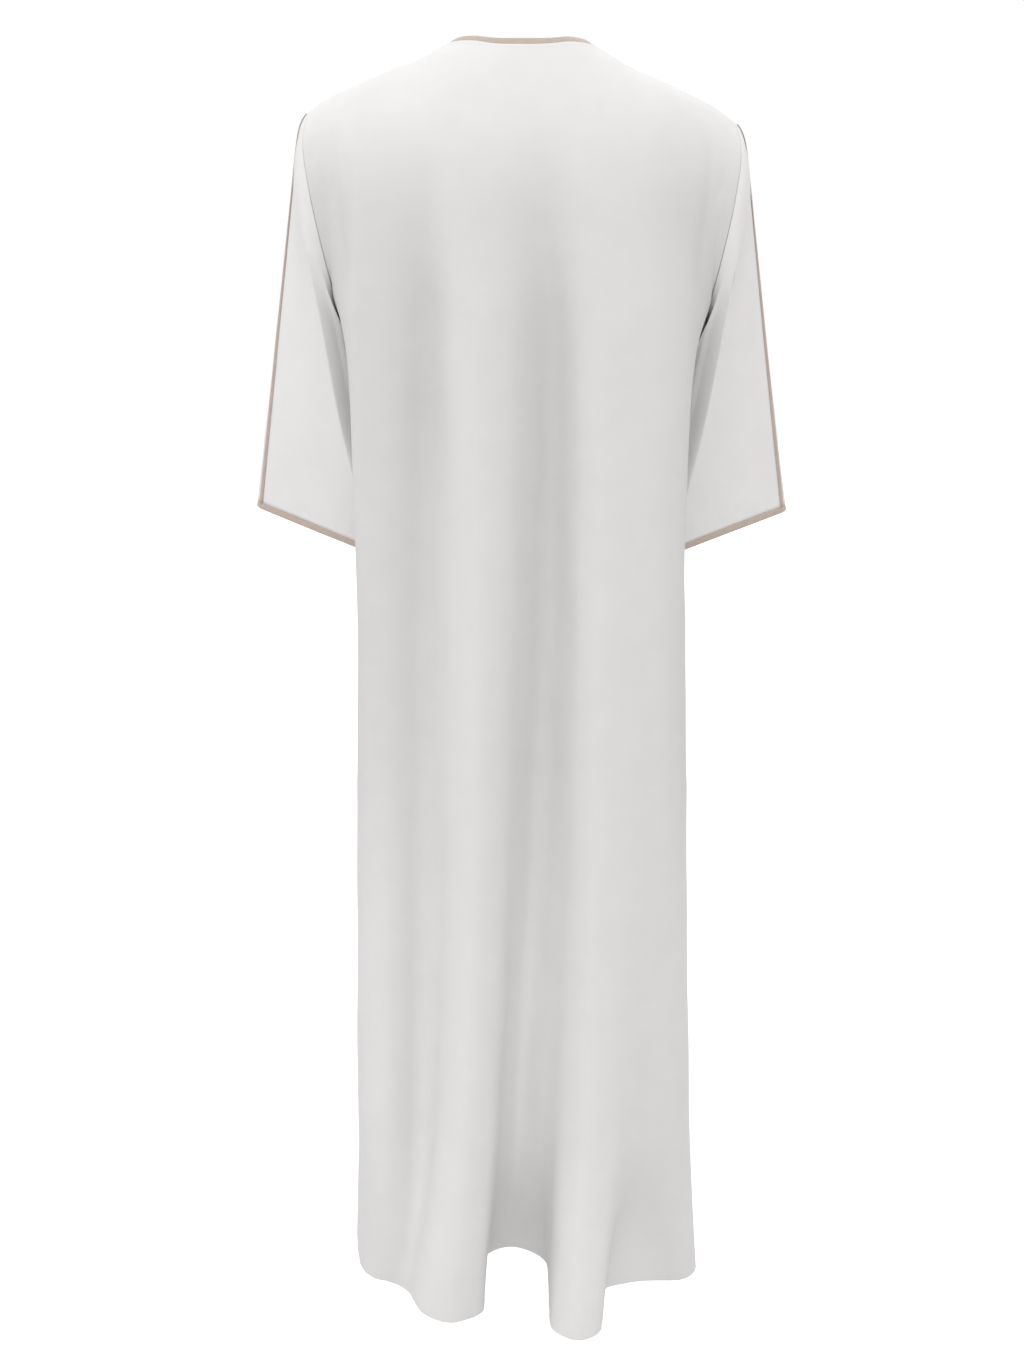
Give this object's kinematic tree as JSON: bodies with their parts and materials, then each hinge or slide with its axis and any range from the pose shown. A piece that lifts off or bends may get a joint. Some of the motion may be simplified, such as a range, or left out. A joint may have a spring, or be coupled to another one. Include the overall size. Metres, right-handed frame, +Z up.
{
  "type": "thobe robe",
  "caption": "Ankle-length robe of off-white crepe, filled out as worn, with three-quarter sleeves, a V neck and beige bound neck, cuffs and arm seams.",
  "frame": {"origin": "middle of the neck opening at shoulder height, where the wearer's shoulders carry the robe", "axes": "+Z up, the robe's length; the wearer faces -Y, so the back is at +Y; +X is the wearer's left"},
  "size_m": [0.5918, 0.3966, 1.385],
  "materials": {
    "off_white_crepe": "matt crepe with a faint satin sheen",
    "beige_tape": "folded satin-weave tape, soft sheen"
  },
  "bodies": {
    "root": {"back_panel": "off_white_crepe", "front_panel": "off_white_crepe", "left_sleeve_back": "off_white_crepe", "left_sleeve_front": "off_white_crepe", "right_sleeve_back": "off_white_crepe", "right_sleeve_front": "off_white_crepe", "neck_binding": "beige_tape", "left_arm_piping": "beige_tape", "right_arm_piping": "beige_tape", "left_cuff_binding": "beige_tape", "right_cuff_binding": "beige_tape"}
  },
  "joints": []
}
